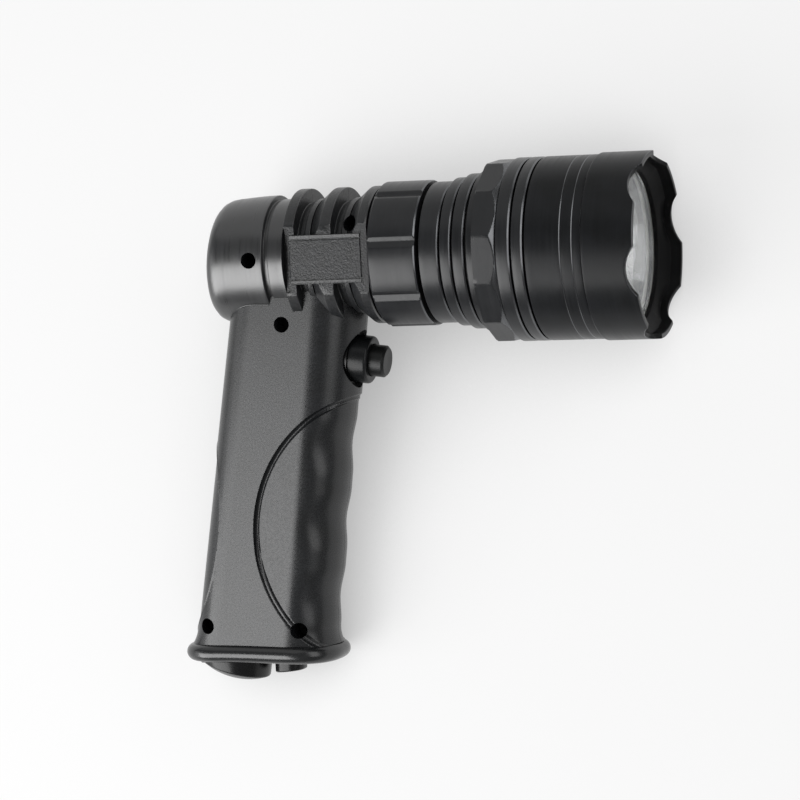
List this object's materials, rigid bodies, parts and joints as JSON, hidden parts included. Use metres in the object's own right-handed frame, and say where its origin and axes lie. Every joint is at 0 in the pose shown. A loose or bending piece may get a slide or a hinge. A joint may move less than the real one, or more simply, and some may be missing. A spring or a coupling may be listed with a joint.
{
  "type": "handheld searchlight",
  "caption": "Pistol-grip searchlight: finned round head, scalloped bezel, silvered reflector, fluted neck ring, ribbed clamp section, finger grip, push switch and covered charging socket.",
  "frame": {"origin": "middle of the light's outline in plan, on the plane that the head touches when it lies on its left side", "axes": "+X along the beam, +Y up when the light is held, +Z towards its right side, which is up as it lies"},
  "size_m": [0.159, 0.1614, 0.0576],
  "materials": {
    "housing_plastic": "moulded black nylon, fine spark-eroded grain",
    "cap_plastic": "moulded black plastic, polished",
    "cover_rubber": "moulded black rubber, smooth",
    "screw_steel": "black-oxide steel screw",
    "socket_plastic": "moulded black plastic",
    "plated_nut": "nickel-plated steel",
    "circuit_board": "green solder mask on glass-fibre board",
    "cell_wrap": null,
    "nickel_strip": "rolled nickel",
    "foam": "closed-cell foam sheet",
    "switch_metal": "turned aluminium, black anodised",
    "button_plastic": "moulded black plastic",
    "spring_steel": "spring wire",
    "seal_rubber": "black nitrile rubber",
    "block_plastic": "red phenolic",
    "terminal_brass": "tinned brass",
    "ring_anodised": "turned aluminium, black anodised",
    "head_anodised": "turned aluminium, black anodised",
    "bezel_anodised": "turned aluminium, black anodised",
    "lens_glass": "clear flat glass",
    "silvered_mirror": "vacuum-coated aluminium on a smooth bowl",
    "holder_plastic": "moulded white plastic",
    "emitter_dome": "phosphor under a silicone dome",
    "metal_core_board": "white solder mask on aluminium",
    "bare_aluminium": "turned, bare",
    "driver_components": "ferrite and moulded package",
    "lead_red": "silicone insulation",
    "lead_black": "silicone insulation",
    "lead_orange": "silicone insulation"
  },
  "bodies": {
    "body": {"right_housing": "housing_plastic", "left_housing": "housing_plastic", "housing_screws": "screw_steel", "base_cap": "cap_plastic", "charge_jack": "socket_plastic", "jack_nut": "plated_nut", "charge_board": "circuit_board", "cover_root": "cover_rubber", "base_lug": "cover_rubber", "front_cell": "cell_wrap", "rear_cell": "cell_wrap", "positive_strip": "nickel_strip", "negative_strip": "nickel_strip", "cell_pads": "foam", "switch_collar": "switch_metal", "switch_seal": "seal_rubber", "switch_nut": "plated_nut", "switch_body": "block_plastic", "switch_terminals": "terminal_brass", "neck_ring": "ring_anodised", "neck_oring": "seal_rubber", "head_shell": "head_anodised", "bezel_ring": "bezel_anodised", "front_lens": "lens_glass", "lens_seal": "seal_rubber", "reflector": "silvered_mirror", "led_holder": "holder_plastic", "led_emitter": "emitter_dome", "led_board": "metal_core_board", "heat_pill": "bare_aluminium", "driver_board": "circuit_board", "driver_parts": "driver_components", "led_leads": "lead_red", "lamp_lead_live": "lead_red", "lamp_lead_return": "lead_black", "switch_lead": "lead_orange", "charge_lead_live": "lead_red", "charge_lead_return": "lead_black"},
    "button": {"switch_button": "button_plastic", "switch_spring": "spring_steel"},
    "cover": {"port_cover": "cover_rubber"}
  },
  "joints": [
    {"name": "button_press", "type": "slide", "parent": "body", "child": "button", "axis": [-0.9906, 0.1366, 0], "range_m": [0, 0.0022], "stiffness_N_per_m": 700},
    {"name": "port_cover_hinge", "type": "hinge", "parent": "body", "child": "cover", "pos_m": [-0.07515, -0.07485, 0.0288], "axis": [0, 0, -1], "range_deg": [0, 105], "stiffness_Nm_per_rad": 0.004}
  ]
}
